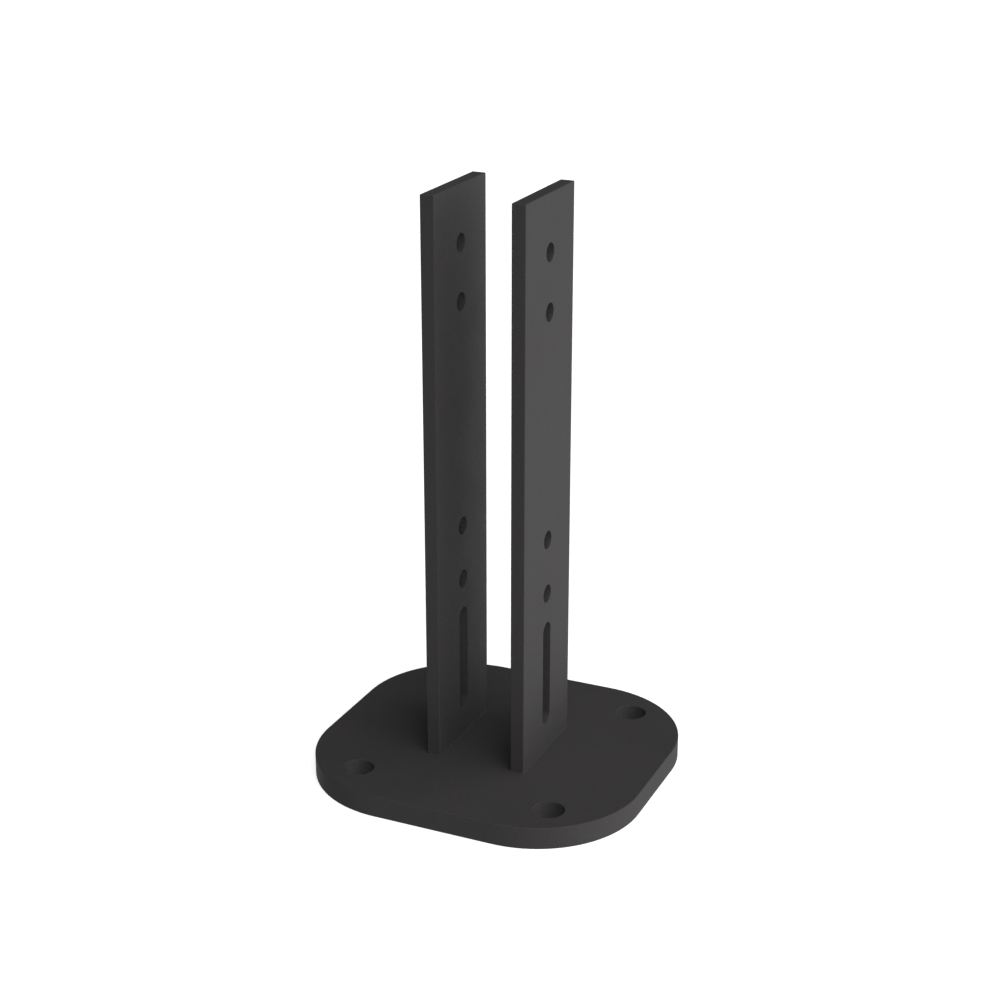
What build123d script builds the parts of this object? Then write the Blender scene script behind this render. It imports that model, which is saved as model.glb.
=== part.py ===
from build123d import *
import os

# Bolt-down post base. Two flat-bar uprights stand on a round-cornered plate, one each side of the
# middle. A hollow post slides down over both uprights and is screwed to them, and four anchors
# hold the plate to the ground.
#
# Millimetres, +Z up. The origin is the middle of the plate's underside. X runs across the two
# uprights, and Y runs along their width.

# ---- driving dimensions -------------------------------------------------------------------------

# base plate
plate_length = 120.0            # along X
plate_width = 110.0             # along Y
plate_thickness = 8.0
plate_corner_radius = 38.0
plate_edge_radius = 0.3         # deburred rim, top and bottom

# anchor holes, for M10 anchors
anchor_spacing_x = 72.0
anchor_spacing_y = 78.0
anchor_hole_diameter = 11.0
anchor_hole_chamfer = 0.1

# uprights, cut from 40 x 5 flat bar
bar_width = 40.0                # along Y
bar_thickness = 5.0             # along X
bar_edge_radius = 0.3           # rolled corners of the bar
upright_rise = 200.0            # above the plate's top
upright_gap = 27.0              # between the two inner faces
upright_end_chamfer = 0.2       # deburred sawn end

# screw holes of each upright, for M6 screws: a pair near the top and a pair lower down
screw_hole_diameter = 6.4
screw_hole_pitch = 20.0         # within a pair
upper_pair_below_top = 29.6     # from the upright's top to the middle of the upper pair
lower_pair_below_top = 129.8    # from the upright's top to the middle of the lower pair
screw_hole_chamfer = 0.1

# long slot near the foot of each upright, for an M6 screw that may sit at any height in it
slot_width = 6.4
slot_length = 39.0
slot_middle_above_plate = 29.7

# tenon under each upright, the plate's slot for it, and the weld below it
tenon_width = 28.0              # along Y, so the bar keeps a 6 mm shoulder at each side
tenon_clearance = 0.1           # each side, between the tenon and its slot
tenon_slot_corner_radius = 0.3  # left by the cutting beam
groove_depth = 2.0              # 45 degree weld groove round the slot, in the plate's underside
groove_taper = 45.0
weld_recess = 0.3               # how far the ground weld stays inside the underside

# ---- worked-out places --------------------------------------------------------------------------

upright_top = plate_thickness + upright_rise
upright_offset = (upright_gap + bar_thickness) / 2
upright_centres = {"left": -upright_offset, "right": upright_offset}

upper_pair_height = upright_top - upper_pair_below_top
lower_pair_height = upright_top - lower_pair_below_top
slot_middle_height = plate_thickness + slot_middle_above_plate

tenon_length = plate_thickness - groove_depth
tenon_slot_length = tenon_width + 2 * tenon_clearance
tenon_slot_width = bar_thickness + 2 * tenon_clearance

os.makedirs("parts", exist_ok=True)


# ---- base plate: one blank with its anchor holes, tenon slots and weld grooves --------------------

with BuildPart() as base_plate:
    with BuildSketch():
        RectangleRounded(plate_length, plate_width, plate_corner_radius)
    extrude(amount=plate_thickness)
    levels = base_plate.edges().group_by(Axis.Z)
    fillet(levels[0] + levels[-1], plate_edge_radius)

    with BuildSketch():
        with GridLocations(anchor_spacing_x, anchor_spacing_y, 2, 2):
            Circle(anchor_hole_diameter / 2)
    extrude(amount=plate_thickness, mode=Mode.SUBTRACT)
    chamfer(base_plate.edges(Select.LAST).filter_by(GeomType.CIRCLE), anchor_hole_chamfer)

    with BuildSketch():
        with GridLocations(2 * upright_offset, 0, 2, 1):
            RectangleRounded(tenon_slot_width, tenon_slot_length, tenon_slot_corner_radius)
    extrude(amount=plate_thickness, mode=Mode.SUBTRACT)

    with BuildSketch(Plane.XY.offset(groove_depth)):
        with GridLocations(2 * upright_offset, 0, 2, 1):
            RectangleRounded(tenon_slot_width, tenon_slot_length, tenon_slot_corner_radius)
    extrude(amount=-groove_depth, taper=-groove_taper, mode=Mode.SUBTRACT)

base_plate.part.label = "base_plate"
export_step(base_plate.part, "parts/base_plate.step")


# ---- uprights: a length of flat bar, notched to a tenon and punched --------------------------------

for side, centre_x in upright_centres.items():
    with BuildPart() as upright:
        with BuildSketch(Plane.XY.offset(plate_thickness)):
            with Locations((centre_x, 0)):
                Rectangle(bar_thickness, bar_width)
        extrude(amount=upright_rise)
        fillet(upright.edges().filter_by(Axis.Z), bar_edge_radius)
        chamfer(upright.edges().group_by(Axis.Z)[-1], upright_end_chamfer)

        with BuildSketch(Plane.XY.offset(plate_thickness)):
            with Locations((centre_x, 0)):
                Rectangle(bar_thickness, tenon_width)
        extrude(amount=-tenon_length)

        with BuildSketch(Plane.YZ.offset(centre_x)):
            for pair_height in (upper_pair_height, lower_pair_height):
                with Locations((0, pair_height)):
                    with GridLocations(0, screw_hole_pitch, 1, 2):
                        Circle(screw_hole_diameter / 2)
            with Locations((0, slot_middle_height)):
                SlotOverall(slot_length, slot_width, rotation=90)
        extrude(amount=bar_thickness, both=True, mode=Mode.SUBTRACT)
        cut_edges = upright.edges(Select.LAST)
        mouths = cut_edges.group_by(Axis.X)[0] + cut_edges.group_by(Axis.X)[-1]
        chamfer(mouths, screw_hole_chamfer)

    upright.part.label = f"{side}_upright"
    export_step(upright.part, f"parts/{side}_upright.step")


# ---- welds: each fills the groove below its tenon, and is ground back inside the underside ----------

for side, centre_x in upright_centres.items():
    with BuildPart() as weld:
        with BuildSketch(Plane.XY.offset(groove_depth)):
            with Locations((centre_x, 0)):
                RectangleRounded(tenon_slot_width, tenon_slot_length, tenon_slot_corner_radius)
        extrude(amount=-(groove_depth - weld_recess), taper=-groove_taper)

    weld.part.label = f"{side}_weld"
    export_step(weld.part, f"parts/{side}_weld.step")
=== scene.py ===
import math

import bpy
import numpy as np
from bpy.props import FloatProperty, FloatVectorProperty, PointerProperty
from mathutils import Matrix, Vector


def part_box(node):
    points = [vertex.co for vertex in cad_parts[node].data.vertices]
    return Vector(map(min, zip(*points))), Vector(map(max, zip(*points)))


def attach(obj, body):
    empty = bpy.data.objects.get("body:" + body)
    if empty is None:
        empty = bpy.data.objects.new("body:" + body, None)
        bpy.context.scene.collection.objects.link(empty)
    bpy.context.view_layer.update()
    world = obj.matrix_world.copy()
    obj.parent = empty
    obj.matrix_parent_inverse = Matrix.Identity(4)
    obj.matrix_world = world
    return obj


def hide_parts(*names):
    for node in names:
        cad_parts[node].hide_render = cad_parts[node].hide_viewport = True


bl_info = {
    "name": "Bolt-down post base",
    "version": (1, 0, 0),
    "blender": (4, 5, 0),
    "location": "View3D > Sidebar > Post base",
    "description": "Powder coats a welded post base, lays its weld beads and lights it in a white studio",
    "category": "Object",
}

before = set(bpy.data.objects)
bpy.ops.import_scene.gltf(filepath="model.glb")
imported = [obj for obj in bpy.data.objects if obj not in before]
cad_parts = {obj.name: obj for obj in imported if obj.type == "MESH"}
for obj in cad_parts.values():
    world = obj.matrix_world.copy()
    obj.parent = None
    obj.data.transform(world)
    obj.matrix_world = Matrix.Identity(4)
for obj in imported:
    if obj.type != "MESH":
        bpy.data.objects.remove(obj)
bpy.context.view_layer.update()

MM = 0.001
BODY = "root"
SIDES = ("left", "right")
BAR_CORNER = 0.3 * MM       # rolled corners of the flat bar
SLOT_CORNER = 0.3 * MM      # corners of the tenon slot in the plate
FLOOR_DROP = 0.05 * MM      # the floor lies just clear of the plate's underside
LIGHTS = ("key", "front", "top", "fill", "back")


# ---- colours, nodes and meshes --------------------------------------------------------------------

def linear(hex_colour):
    """Turns an sRGB hex colour such as #2b2a29 into linear red, green, blue and alpha."""
    srgb = [int(hex_colour[i:i + 2], 16) / 255 for i in (1, 3, 5)]
    return [c / 12.92 if c <= 0.04045 else ((c + 0.055) / 1.055) ** 2.4 for c in srgb] + [1.0]


def add_node(tree, kind, inputs=(), **settings):
    """Adds a node. settings are its own properties, and inputs maps its sockets to links or values."""
    node = tree.nodes.new(kind)
    for name, value in settings.items():
        setattr(node, name, value)
    for socket, value in dict(inputs).items():
        if isinstance(value, bpy.types.NodeSocket):
            tree.links.new(value, node.inputs[socket])
        else:
            node.inputs[socket].default_value = value
    return node


def empty_material(name):
    """A material with nothing in its node tree, and the tree."""
    material = bpy.data.materials.new(name)
    material.use_nodes = True
    material.node_tree.nodes.clear()
    return material, material.node_tree


def dress(piece, material):
    """Puts one material in every slot of a piece."""
    piece.data.materials.clear()
    piece.data.materials.append(material)


def mesh_piece(name, points, faces):
    """Makes a smooth object at the origin from an array of points and the corner numbers of its faces."""
    mesh = bpy.data.meshes.new(name)
    mesh.from_pydata(points.tolist(), [], list(faces))
    mesh.polygons.foreach_set("use_smooth", np.full(len(mesh.polygons), True))
    mesh.set_sharp_from_angle(angle=math.radians(50))
    mesh.update()
    piece = bpy.data.objects.new(name, mesh)
    bpy.context.scene.collection.objects.link(piece)
    return piece


def grid_faces(rows, columns, start=0, wrap_rows=False, wrap_columns=False):
    """Corner numbers of the faces of a rows by columns grid of points that begins at number start."""
    numbers = start + np.arange(rows * columns).reshape(rows, columns)
    if wrap_columns:
        numbers = np.column_stack([numbers, numbers[:, :1]])
    if wrap_rows:
        numbers = np.vstack([numbers, numbers[:1]])
    return np.stack(
        [numbers[:-1, :-1], numbers[:-1, 1:], numbers[1:, 1:], numbers[1:, :-1]], axis=-1
    ).reshape(-1, 4)


# ---- the finish -------------------------------------------------------------------------------------

class PostBaseCoat(bpy.types.PropertyGroup):
    """The powder coat that covers the whole part."""

    colour: FloatVectorProperty(
        name="Colour", description="Colour of the powder coat", subtype="COLOR",
        size=3, min=0, max=1, default=linear("#403e3e")[:3],
    )
    thin_colour: FloatVectorProperty(
        name="Thin colour", description="Colour where the coat lies thin, on edges and peaks",
        subtype="COLOR", size=3, min=0, max=1, default=linear("#474444")[:3],
    )
    roughness: FloatProperty(
        name="Roughness", description="Middle roughness of the matt coat", min=0, max=1, default=0.74,
    )
    grain: FloatProperty(
        name="Grain", description="Size of one bump of the fine texture",
        subtype="DISTANCE", unit="LENGTH", min=0.1 * MM, max=3 * MM, default=0.6 * MM,
    )
    grain_height: FloatProperty(
        name="Grain height", description="Height of one bump of the fine texture",
        subtype="DISTANCE", unit="LENGTH", min=0, max=0.2 * MM, default=0.02 * MM, precision=6,
    )
    flow: FloatProperty(
        name="Flow", description="Size of the soft waves that the coat settles in",
        subtype="DISTANCE", unit="LENGTH", min=1 * MM, max=30 * MM, default=4.5 * MM,
    )
    flow_height: FloatProperty(
        name="Flow height", description="Height of the soft waves",
        subtype="DISTANCE", unit="LENGTH", min=0, max=0.2 * MM, default=0.03 * MM, precision=6,
    )
    drift: FloatProperty(
        name="Drift", description="Distance over which the shade and the mattness drift",
        subtype="DISTANCE", unit="LENGTH", min=5 * MM, max=200 * MM, default=28 * MM,
    )
    streak: FloatProperty(
        name="Streak", description="Distance from one streak to the next on the cut rim",
        subtype="DISTANCE", unit="LENGTH", min=0.2 * MM, max=5 * MM, default=0.9 * MM, precision=6,
    )
    streak_height: FloatProperty(
        name="Streak height", description="Height of a streak on the cut rim",
        subtype="DISTANCE", unit="LENGTH", min=0, max=0.2 * MM, default=0.03 * MM, precision=6,
    )
    edge_reach: FloatProperty(
        name="Edge reach", description="How far from an edge the coat lies thinner",
        subtype="DISTANCE", unit="LENGTH", min=0.05 * MM, max=3 * MM, default=0.45 * MM, precision=6,
    )
    fillet: FloatProperty(
        name="Fillet", description="Radius of the coat that fills the corner at an upright's foot",
        subtype="DISTANCE", unit="LENGTH", min=0.1 * MM, max=1 * MM, default=0.16 * MM, precision=6,
    )


def ramp(tree, value, low, high, start=0.0, end=1.0):
    """Carries a value's range from low to high over to the range from start to end, and no further."""
    return add_node(
        tree, "ShaderNodeMapRange",
        {"Value": value, "From Min": low, "From Max": high, "To Min": start, "To Max": end},
    ).outputs["Result"]


def thin_at_edges(tree, reach):
    """1 on a sharp edge and 0 away from it: how far the normal turns when the edge is rounded off."""
    hardly_turned, well_turned = 0.995, 0.8     # cosines of the turn
    rounded = add_node(tree, "ShaderNodeBevel", {"Radius": reach}, samples=6).outputs["Normal"]
    flat = add_node(tree, "ShaderNodeNewGeometry").outputs["Normal"]
    alike = add_node(
        tree, "ShaderNodeVectorMath", {0: rounded, 1: flat}, operation="DOT_PRODUCT",
    ).outputs["Value"]
    return ramp(tree, alike, hardly_turned, well_turned)


def cut_streaks(tree, place, pitch):
    """Height of the streaks that a cutting beam leaves, upright on every upright face and nowhere else.

    It is noise drawn out along Z, so it runs from the top of a cut face to its bottom.
    """
    times_longer = 25
    drawn_out = add_node(
        tree, "ShaderNodeMapping", {"Vector": place, "Scale": (1, 1, 1 / times_longer)},
    )
    streaks = add_node(
        tree, "ShaderNodeTexNoise",
        {"Vector": drawn_out.outputs["Vector"], "Scale": 1 / pitch, "Detail": 2.0, "Roughness": 0.6},
    ).outputs["Fac"]
    normal = add_node(tree, "ShaderNodeNewGeometry").outputs["Normal"]
    up = add_node(tree, "ShaderNodeSeparateXYZ", {"Vector": normal}).outputs["Z"]
    slope = add_node(tree, "ShaderNodeMath", {0: up}, operation="ABSOLUTE").outputs[0]
    level, steep = 0.6, 0.2     # the normal's Z on a face that has no streaks, and on one that has
    upright = ramp(tree, slope, level, steep)
    return add_node(tree, "ShaderNodeMath", {0: streaks, 1: upright}, operation="MULTIPLY").outputs[0]


def powder_coat(name, coat, thin_edges=True, cut_rim=False):
    """Matt anthracite polyester powder coat, sprayed on as dry powder and baked.

    The powder melts into a skin with a fine bumpy texture over soft waves, so it is matt, with a
    broad dull sheen and no clear reflection. It lies thin on its peaks and edges, which look a shade
    lighter, and its shade and mattness drift a little over a few centimetres. On the plate, the
    streaks of the cutting beam still show faintly through it on the rim.
    """
    material, tree = empty_material(name)
    place = add_node(tree, "ShaderNodeTexCoord").outputs["Object"]

    grain = add_node(
        tree, "ShaderNodeTexNoise",
        {"Vector": place, "Scale": 1 / coat.grain, "Detail": 2.0, "Roughness": 0.5},
    ).outputs["Fac"]
    flow = add_node(
        tree, "ShaderNodeTexNoise",
        {"Vector": place, "Scale": 1 / coat.flow, "Detail": 1.0, "Roughness": 0.4},
    ).outputs["Fac"]
    drift = add_node(
        tree, "ShaderNodeTexNoise",
        {"Vector": place, "Scale": 1 / coat.drift, "Detail": 3.0, "Roughness": 0.5},
    ).outputs["Fac"]
    grain_low, grain_high = 0.3, 0.7        # nearly all of the fine noise lies between these
    drift_low, drift_high = 0.35, 0.65      # and of the slow noise between these
    bump_height = ramp(tree, grain, grain_low, grain_high)

    thin_on_peaks, thin_by_drift = 0.45, 0.25
    peaks = ramp(tree, bump_height, 0.55, 1.0, 0.0, thin_on_peaks)
    drifted = ramp(tree, drift, drift_low, drift_high, 0.0, thin_by_drift)
    thin = add_node(tree, "ShaderNodeMath", {0: peaks, 1: drifted}, operation="ADD").outputs[0]
    if thin_edges:
        edges = thin_at_edges(tree, coat.edge_reach)
        thin = add_node(tree, "ShaderNodeMath", {0: thin, 1: edges}, operation="MAXIMUM").outputs[0]
    colour = add_node(
        tree, "ShaderNodeMix", {0: thin, 6: [*coat.colour, 1], 7: [*coat.thin_colour, 1]},
        data_type="RGBA",
    ).outputs[2]

    matt_drift, rubbed_off = 0.04, 0.05
    matt = ramp(
        tree, drift, drift_low, drift_high, coat.roughness - matt_drift, coat.roughness + matt_drift,
    )
    rubbed = ramp(tree, bump_height, 0.5, 1.0, 0.0, -rubbed_off)
    roughness = add_node(tree, "ShaderNodeMath", {0: matt, 1: rubbed}, operation="ADD").outputs[0]

    normal = add_node(
        tree, "ShaderNodeBump", {"Height": flow, "Distance": coat.flow_height, "Strength": 1.0},
    ).outputs["Normal"]
    if cut_rim:
        streaks = cut_streaks(tree, place, coat.streak)
        normal = add_node(
            tree, "ShaderNodeBump",
            {"Height": streaks, "Distance": coat.streak_height, "Strength": 1.0, "Normal": normal},
        ).outputs["Normal"]
    normal = add_node(
        tree, "ShaderNodeBump",
        {"Height": bump_height, "Distance": coat.grain_height, "Strength": 1.0, "Normal": normal},
    ).outputs["Normal"]

    shader = add_node(
        tree, "ShaderNodeBsdfPrincipled",
        {"Base Color": colour, "Roughness": roughness, "IOR": 1.5, "Normal": normal},
    )
    add_node(tree, "ShaderNodeOutputMaterial", {"Surface": shader.outputs["BSDF"]})
    return material


class POSTBASE_OT_plate(bpy.types.Operator):
    """Powder coats the base plate"""

    bl_idname = "postbase.plate"
    bl_label = "Base plate"

    def execute(self, context):
        coat = context.scene.post_base_coat
        dress(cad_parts["base_plate"], powder_coat("powder_coat_plate", coat, cut_rim=True))
        return {"FINISHED"}


class POSTBASE_OT_uprights(bpy.types.Operator):
    """Powder coats the two flat-bar uprights"""

    bl_idname = "postbase.uprights"
    bl_label = "Uprights"

    def execute(self, context):
        coat = context.scene.post_base_coat
        material = powder_coat("powder_coat_uprights", coat)
        for side in SIDES:
            dress(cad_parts[f"{side}_upright"], material)
        return {"FINISHED"}


def foot_coat(name, node, coat):
    """Makes the coat that has run into the corner where an upright stands on the plate.

    It is a profile carried round the upright's foot. The path is the bar's outline, a rectangle with
    rounded corners: a corner's middle that stays still round the corner and slides along the run,
    plus a radius times the cosine and sine of the turn. The profile is a hollow quarter circle of
    radius r, from the plate at a distance r - r * sin(a) to the upright at a height r - r * cos(a),
    closed inside both pieces. r wanders a little along the path, as the melted powder ran.
    """
    low, high = (Vector(corner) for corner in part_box(node))
    plate_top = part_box("base_plate")[1][2]
    middle = (low + high) / 2
    reach = np.array([(high.x - low.x) / 2 - BAR_CORNER, (high.y - low.y) / 2 - BAR_CORNER])
    signs = np.array([(1, 1), (-1, 1), (-1, -1), (1, -1)])
    quarter = np.linspace(0, math.pi / 2, 7)
    along = np.linspace(0, 1, 42)[1:-1, None]
    turns, centres = [], []
    for number, sign in enumerate(signs):
        here, there = sign * reach, signs[(number + 1) % 4] * reach
        start = number * math.pi / 2
        turns += [start + quarter, np.full(len(along), start + math.pi / 2)]
        centres += [np.tile(here, (len(quarter), 1)), here + along * (there - here)]
    turn, centre = np.concatenate(turns), np.concatenate(centres)

    walked = np.cumsum(np.hypot(*np.diff(centre, axis=0, prepend=centre[:1]).T)) / MM
    radius = coat.fillet * (1 + 0.1 * np.sin(1.9 * walked) + 0.07 * np.sin(0.7 * walked + 2))
    arc = np.linspace(0, math.pi / 2, 9)
    inside = np.full((len(turn), 1), -0.05 * MM)    # how deep the skin closes in both pieces
    distance = np.hstack([radius[:, None], radius[:, None] * (1 - np.sin(arc)), inside, inside])
    height = np.hstack([inside, radius[:, None] * (1 - np.cos(arc)), radius[:, None], inside])
    out = BAR_CORNER + distance
    x = middle.x + centre[:, :1] + out * np.cos(turn)[:, None]
    y = middle.y + centre[:, 1:] + out * np.sin(turn)[:, None]
    points = np.stack([x, y, plate_top + height], axis=-1)
    faces = grid_faces(*x.shape, wrap_rows=True, wrap_columns=True)[:, ::-1]
    return mesh_piece(name, points.reshape(-1, 3), faces)


class POSTBASE_OT_foot_coats(bpy.types.Operator):
    """Runs the coat into the corner round the foot of each upright"""

    bl_idname = "postbase.foot_coats"
    bl_label = "Coat at the feet"

    def execute(self, context):
        coat = context.scene.post_base_coat
        material = powder_coat("powder_coat_feet", coat, thin_edges=False)
        for side in SIDES:
            skin = foot_coat(f"{side}_foot_coat", f"{side}_upright", coat)
            dress(skin, material)
            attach(skin, BODY)
        return {"FINISHED"}


# ---- the welds under the plate ------------------------------------------------------------------------

class PostBaseWeld(bpy.types.PropertyGroup):
    """The bead that fills the groove under each upright."""

    toe: FloatProperty(
        name="Toe", description="How far inside the plate's underside the bead meets the groove's wall",
        subtype="DISTANCE", unit="LENGTH", min=0.1 * MM, max=1.5 * MM, default=0.75 * MM,
    )
    crown: FloatProperty(
        name="Crown", description="How far the middle of the bead stands proud of its toes",
        subtype="DISTANCE", unit="LENGTH", min=0, max=1 * MM, default=0.5 * MM,
    )
    ripple_pitch: FloatProperty(
        name="Ripple pitch", description="Distance from one ripple to the next",
        subtype="DISTANCE", unit="LENGTH", min=0.3 * MM, max=5 * MM, default=1.3 * MM,
    )
    ripple_height: FloatProperty(
        name="Ripple height", description="Height of one ripple",
        subtype="DISTANCE", unit="LENGTH", min=0, max=0.5 * MM, default=0.14 * MM,
    )


def weld_bead(name, node, weld):
    """Makes the bead that fills one groove.

    Its place is worked out from s, from -1 to 1 along the bead, and t, from -1 to 1 across it. The
    groove widens at 45 degrees, so at a depth the outline is the tenon slot's, grown by the height
    below the groove's top: y = s * half length, and x = t * half width, which draws in round the
    corners as a quarter circle. The face below is a crown, 1 - t squared high, with ripples in
    crescents that the phase (y + bow * t squared) / pitch sets.
    """
    low, high = (Vector(corner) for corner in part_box(node))
    middle = (low + high) / 2
    rows, columns = 321, 49
    s, t = np.meshgrid(np.linspace(-1, 1, rows), np.linspace(-1, 1, columns), indexing="ij")
    grown_at_box = high.z - low.z
    slot_half_width = (high.x - low.x) / 2 - grown_at_box
    slot_half_length = (high.y - low.y) / 2 - grown_at_box

    def outline(height):
        grown = high.z - height
        half_width, half_length, radius = (
            slot_half_width + grown, slot_half_length + grown, SLOT_CORNER + grown
        )
        y = s * half_length
        past = np.clip(np.abs(y) - (half_length - radius), 0, radius)
        x = t * (half_width - radius + np.sqrt(radius**2 - past**2))
        return middle.x + x, middle.y + y

    toe_x, toe_y = outline(weld.toe)
    bow = 2.2 * MM              # how far a ripple's middle runs ahead of its ends
    along = s * slot_half_length
    wander = 0.12 * np.sin(along / (2.9 * MM)) + 0.1 * np.sin(along / (1.7 * MM) + 1.0)
    phase = (along + bow * t**2) / weld.ripple_pitch + wander
    scallop = np.abs(np.sin(math.pi * phase)) ** 0.7
    fade = (1 - t**2) * (1 - s**8)
    rise = weld.crown * fade**0.8 + weld.ripple_height * scallop * np.sqrt(fade)
    face = np.stack([toe_x, toe_y, weld.toe - rise], axis=-1)
    top_x, top_y = outline(high.z)
    back = np.stack([top_x, top_y, np.full_like(top_x, high.z)], axis=-1)

    points = np.concatenate([face.reshape(-1, 3), back.reshape(-1, 3)])
    numbers = np.arange(rows * columns).reshape(rows, columns)
    rim = np.concatenate(
        [numbers[0, :-1], numbers[:-1, -1], numbers[-1, :0:-1], numbers[:0:-1, 0]]
    )
    ahead = np.roll(rim, -1)
    wall = np.stack([rim, ahead, ahead + rows * columns, rim + rows * columns], axis=-1)
    faces = np.concatenate([
        grid_faces(rows, columns)[:, ::-1],
        grid_faces(rows, columns, start=rows * columns),
        wall,
    ])
    return mesh_piece(name, points, faces)


class POSTBASE_OT_welds(bpy.types.Operator):
    """Lays a rippled weld bead in each groove under the plate"""

    bl_idname = "postbase.welds"
    bl_label = "Weld beads"

    def execute(self, context):
        scene = context.scene
        material = powder_coat("powder_coat_welds", scene.post_base_coat, thin_edges=False)
        for side in SIDES:
            bead = weld_bead(f"{side}_weld_bead", f"{side}_weld", scene.post_base_weld)
            dress(bead, material)
            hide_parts(f"{side}_weld")
            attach(bead, BODY)
        return {"FINISHED"}


# ---- the studio ----------------------------------------------------------------------------------------

def direction(azimuth, elevation):
    """Unit vector towards a place round the part. Azimuth 0 is the -Y side, and 90 degrees the +X side."""
    return Vector((
        math.sin(azimuth) * math.cos(elevation),
        -math.cos(azimuth) * math.cos(elevation),
        math.sin(elevation),
    ))


class PostBaseStage(bpy.types.PropertyGroup):
    """The floor, the light and the camera."""

    floor_radius: FloatProperty(
        name="Floor radius", description="Radius of the white floor",
        subtype="DISTANCE", unit="LENGTH", min=0.5, max=50, default=12,
    )
    floor_glow: FloatProperty(
        name="Floor glow", description="How brightly the opal floor is lit from below",
        min=0, max=2, default=0.75,
    )
    key_strength: FloatProperty(
        name="Key", description="Strength of the broad soft light at the right", min=0, default=1.45,
    )
    key_azimuth: FloatProperty(
        name="Key azimuth", description="Turn of the key light round the part",
        subtype="ANGLE", unit="ROTATION", default=math.radians(103.9),
    )
    key_elevation: FloatProperty(
        name="Key elevation", description="Height of the key light above the horizon, as an angle",
        subtype="ANGLE", unit="ROTATION", default=math.radians(-11.5),
    )
    key_focus: FloatProperty(
        name="Key focus", description="Higher for a smaller key light", min=1, max=60, default=4.7,
    )
    front_strength: FloatProperty(
        name="Front", description="Strength of the soft light over the camera", min=0, default=2.45,
    )
    front_azimuth: FloatProperty(
        name="Front azimuth", description="Turn of the front light round the part",
        subtype="ANGLE", unit="ROTATION", default=math.radians(36.3),
    )
    front_elevation: FloatProperty(
        name="Front elevation", description="Height of the front light above the horizon, as an angle",
        subtype="ANGLE", unit="ROTATION", default=math.radians(27.2),
    )
    front_focus: FloatProperty(
        name="Front focus", description="Higher for a smaller front light", min=1, max=60, default=38,
    )
    top_strength: FloatProperty(
        name="Top", description="Strength of the soft light high at the right", min=0, default=1.6,
    )
    top_azimuth: FloatProperty(
        name="Top azimuth", description="Turn of the top light round the part",
        subtype="ANGLE", unit="ROTATION", default=math.radians(56.6),
    )
    top_elevation: FloatProperty(
        name="Top elevation", description="Height of the top light above the horizon, as an angle",
        subtype="ANGLE", unit="ROTATION", default=math.radians(64.8),
    )
    top_focus: FloatProperty(
        name="Top focus", description="Higher for a smaller top light", min=1, max=60, default=18,
    )
    fill_strength: FloatProperty(
        name="Fill", description="Strength of the low light at the left of the camera", min=0, default=1.16,
    )
    fill_azimuth: FloatProperty(
        name="Fill azimuth", description="Turn of the fill light round the part",
        subtype="ANGLE", unit="ROTATION", default=math.radians(315.2),
    )
    fill_elevation: FloatProperty(
        name="Fill elevation", description="Height of the fill light above the horizon, as an angle",
        subtype="ANGLE", unit="ROTATION", default=math.radians(-26),
    )
    fill_focus: FloatProperty(
        name="Fill focus", description="Higher for a smaller fill light", min=1, max=60, default=32,
    )
    back_strength: FloatProperty(
        name="Back", description="Strength of the low light behind the part", min=0, default=1.2,
    )
    back_azimuth: FloatProperty(
        name="Back azimuth", description="Turn of the back light round the part",
        subtype="ANGLE", unit="ROTATION", default=math.radians(225),
    )
    back_elevation: FloatProperty(
        name="Back elevation", description="Height of the back light above the horizon, as an angle",
        subtype="ANGLE", unit="ROTATION", default=math.radians(-32),
    )
    back_focus: FloatProperty(
        name="Back focus", description="Higher for a smaller back light", min=1, max=60, default=14,
    )
    azimuth: FloatProperty(
        name="Azimuth", description="Turn of the camera round the part",
        subtype="ANGLE", unit="ROTATION", default=math.radians(24.18),
    )
    elevation: FloatProperty(
        name="Elevation", description="Height of the camera above the horizon, as an angle",
        subtype="ANGLE", unit="ROTATION", default=math.radians(20.98),
    )
    distance: FloatProperty(
        name="Distance", description="Distance from the camera to the point that it looks at",
        subtype="DISTANCE", unit="LENGTH", min=0.1, max=10, default=0.6757,
    )
    lens: FloatProperty(
        name="Lens", description="Focal length", subtype="DISTANCE_CAMERA", unit="CAMERA",
        min=10, max=300, default=70.9,
    )
    aim: FloatVectorProperty(
        name="Aim", description="Point that the camera looks at", subtype="TRANSLATION",
        unit="LENGTH", size=3, default=(0, 0.0014, 0.0994),
    )


def floor_disc(radius):
    """A flat disc: a distance from the middle, in growing steps, and an angle, round a whole turn."""
    rings, spokes = 24, 96
    distance, turn = np.meshgrid(
        radius * np.geomspace(0.0005, 1, rings),
        np.linspace(0, 2 * math.pi, spokes, endpoint=False), indexing="ij",
    )
    level = np.full_like(distance, -FLOOR_DROP)
    ring_points = np.stack(
        [distance * np.cos(turn), distance * np.sin(turn), level], axis=-1,
    ).reshape(-1, 3)
    points = np.concatenate([ring_points, [[0.0, 0.0, -FLOOR_DROP]]])
    spoke = np.arange(spokes)
    hub = np.stack([np.full(spokes, rings * spokes), spoke, np.roll(spoke, -1)], axis=-1)
    faces = grid_faces(rings, spokes, wrap_columns=True)[:, ::-1]
    return mesh_piece("floor", points, faces.tolist() + hub.tolist())


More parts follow.
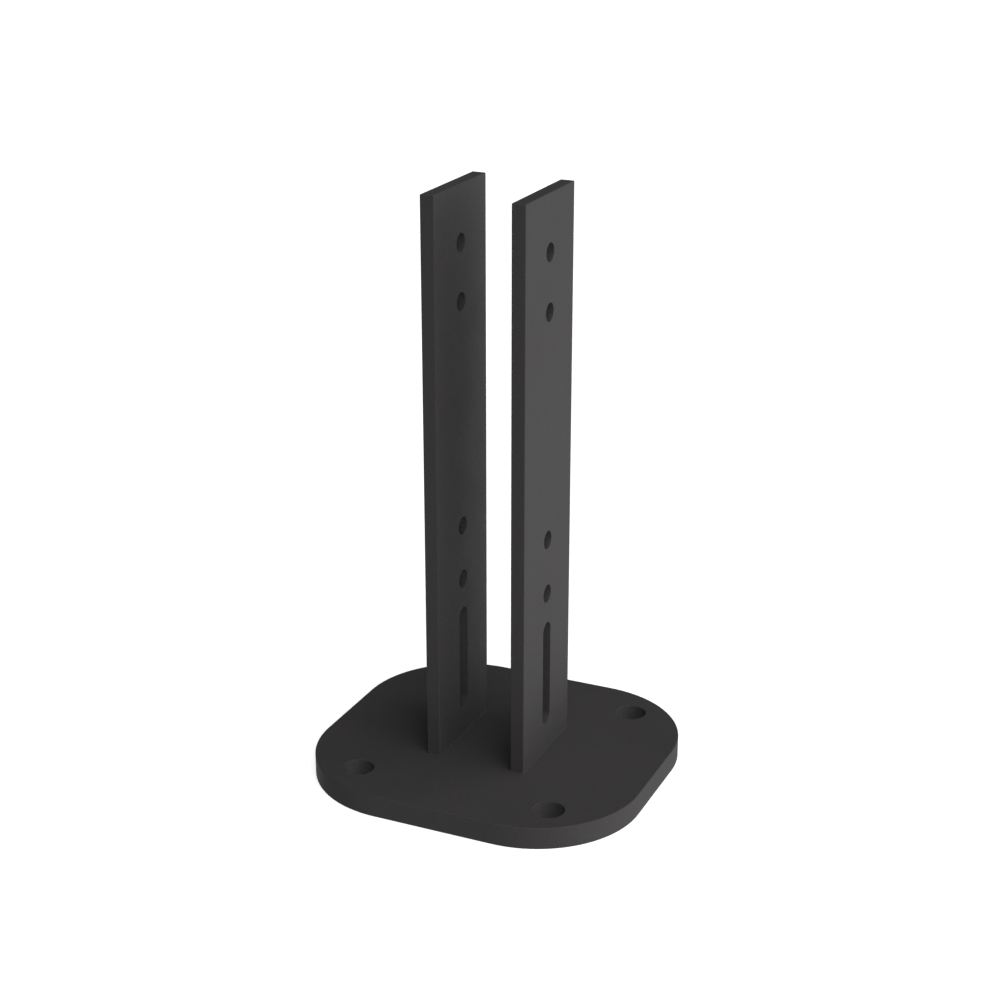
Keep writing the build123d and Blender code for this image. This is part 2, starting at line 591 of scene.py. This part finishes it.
def opal_acrylic(name, glow):
    """A sheet of white opal acrylic lit from below, so it shows as white with hardly a shadow.

    It is clear from behind, so the underside of the part can be looked at through it.
    """
    material, tree = empty_material(name)
    light = add_node(tree, "ShaderNodeEmission", {"Color": linear("#ffffff"), "Strength": glow})
    white = add_node(tree, "ShaderNodeBsdfDiffuse", {"Color": linear("#f2f2f2")})
    both = add_node(tree, "ShaderNodeAddShader", {0: light.outputs[0], 1: white.outputs[0]})
    clear = add_node(tree, "ShaderNodeBsdfTransparent")
    behind = add_node(tree, "ShaderNodeNewGeometry").outputs["Backfacing"]
    surface = add_node(
        tree, "ShaderNodeMixShader", {0: behind, 1: both.outputs[0], 2: clear.outputs[0]},
    )
    add_node(tree, "ShaderNodeOutputMaterial", {"Surface": surface.outputs[0]})
    return material


def soft_glow(tree, ray, towards, focus, strength):
    """One broad soft light: strength * ((1 + cosine of the angle to its middle) / 2) ** focus."""
    cosine = add_node(
        tree, "ShaderNodeVectorMath", {0: ray, 1: towards}, operation="DOT_PRODUCT",
    ).outputs["Value"]
    share = add_node(tree, "ShaderNodeMapRange", {"Value": cosine, "From Min": -1.0}).outputs["Result"]
    falloff = add_node(tree, "ShaderNodeMath", {0: share, 1: focus}, operation="POWER").outputs[0]
    return add_node(tree, "ShaderNodeMath", {0: falloff, 1: strength}, operation="MULTIPLY").outputs[0]


def studio_world(stage):
    """White all round to the eye, and five soft lights on the part."""
    world = bpy.data.worlds.new("white_studio")
    world.use_nodes = True
    tree = world.node_tree
    tree.nodes.clear()
    ray = add_node(tree, "ShaderNodeTexCoord").outputs["Generated"]
    light = 0.0
    for name in LIGHTS:
        towards = direction(getattr(stage, f"{name}_azimuth"), getattr(stage, f"{name}_elevation"))
        glow = soft_glow(
            tree, ray, towards, getattr(stage, f"{name}_focus"), getattr(stage, f"{name}_strength"),
        )
        light = add_node(tree, "ShaderNodeMath", {0: light, 1: glow}, operation="ADD").outputs[0]
    seen = add_node(tree, "ShaderNodeLightPath").outputs["Is Camera Ray"]
    strength = add_node(
        tree, "ShaderNodeMapRange", {"Value": seen, "To Min": light, "To Max": 1.0},
    ).outputs["Result"]
    sky = add_node(tree, "ShaderNodeBackground", {"Color": linear("#ffffff"), "Strength": strength})
    add_node(tree, "ShaderNodeOutputWorld", {"Surface": sky.outputs[0]})
    return world


class POSTBASE_OT_stage(bpy.types.Operator):
    """Makes the white floor, the soft light and the camera"""

    bl_idname = "postbase.stage"
    bl_label = "Studio"

    def execute(self, context):
        scene = context.scene
        stage = scene.post_base_stage
        floor = floor_disc(stage.floor_radius)
        dress(floor, opal_acrylic("opal_acrylic_floor", stage.floor_glow))
        for ray_kind in ("diffuse", "glossy", "transmission", "shadow"):
            setattr(floor, f"visible_{ray_kind}", False)
        scene.world = studio_world(stage)

        data = bpy.data.cameras.new("camera")
        data.sensor_width = 36.0
        data.lens = stage.lens
        camera = bpy.data.objects.new("camera", data)
        back = direction(stage.azimuth, stage.elevation)
        camera.location = Vector(stage.aim) + stage.distance * back
        camera.rotation_euler = (-back).to_track_quat("-Z", "Y").to_euler()
        scene.collection.objects.link(camera)
        scene.camera = camera
        scene.view_settings.view_transform = "Standard"
        return {"FINISHED"}


# ---- sidebar and registration ---------------------------------------------------------------------------

class POSTBASE_PT_panel(bpy.types.Panel):
    """Lists the sizes, colours and steps of the post base"""

    bl_idname = "POSTBASE_PT_panel"
    bl_label = "Post base"
    bl_space_type = "VIEW_3D"
    bl_region_type = "UI"
    bl_category = "Post base"

    def draw(self, context):
        for name, group in GROUPS.items():
            box = self.layout.box()
            settings = getattr(context.scene, name)
            for key in group.__annotations__:
                box.prop(settings, key)
        for operator in OPERATORS:
            self.layout.operator(operator.bl_idname)


GROUPS = {
    "post_base_coat": PostBaseCoat,
    "post_base_weld": PostBaseWeld,
    "post_base_stage": PostBaseStage,
}
OPERATORS = (
    POSTBASE_OT_plate, POSTBASE_OT_uprights, POSTBASE_OT_foot_coats, POSTBASE_OT_welds,
    POSTBASE_OT_stage,
)
CLASSES = (*GROUPS.values(), *OPERATORS, POSTBASE_PT_panel)


def register():
    for item in CLASSES:
        bpy.utils.register_class(item)
    for name, group in GROUPS.items():
        setattr(bpy.types.Scene, name, PointerProperty(type=group))


def unregister():
    for name in GROUPS:
        delattr(bpy.types.Scene, name)
    for item in reversed(CLASSES):
        bpy.utils.unregister_class(item)


def main():
    register()
    bpy.ops.postbase.plate()
    bpy.ops.postbase.uprights()
    bpy.ops.postbase.foot_coats()
    bpy.ops.postbase.welds()
    bpy.ops.postbase.stage()


if __name__ == "__main__":
    main()
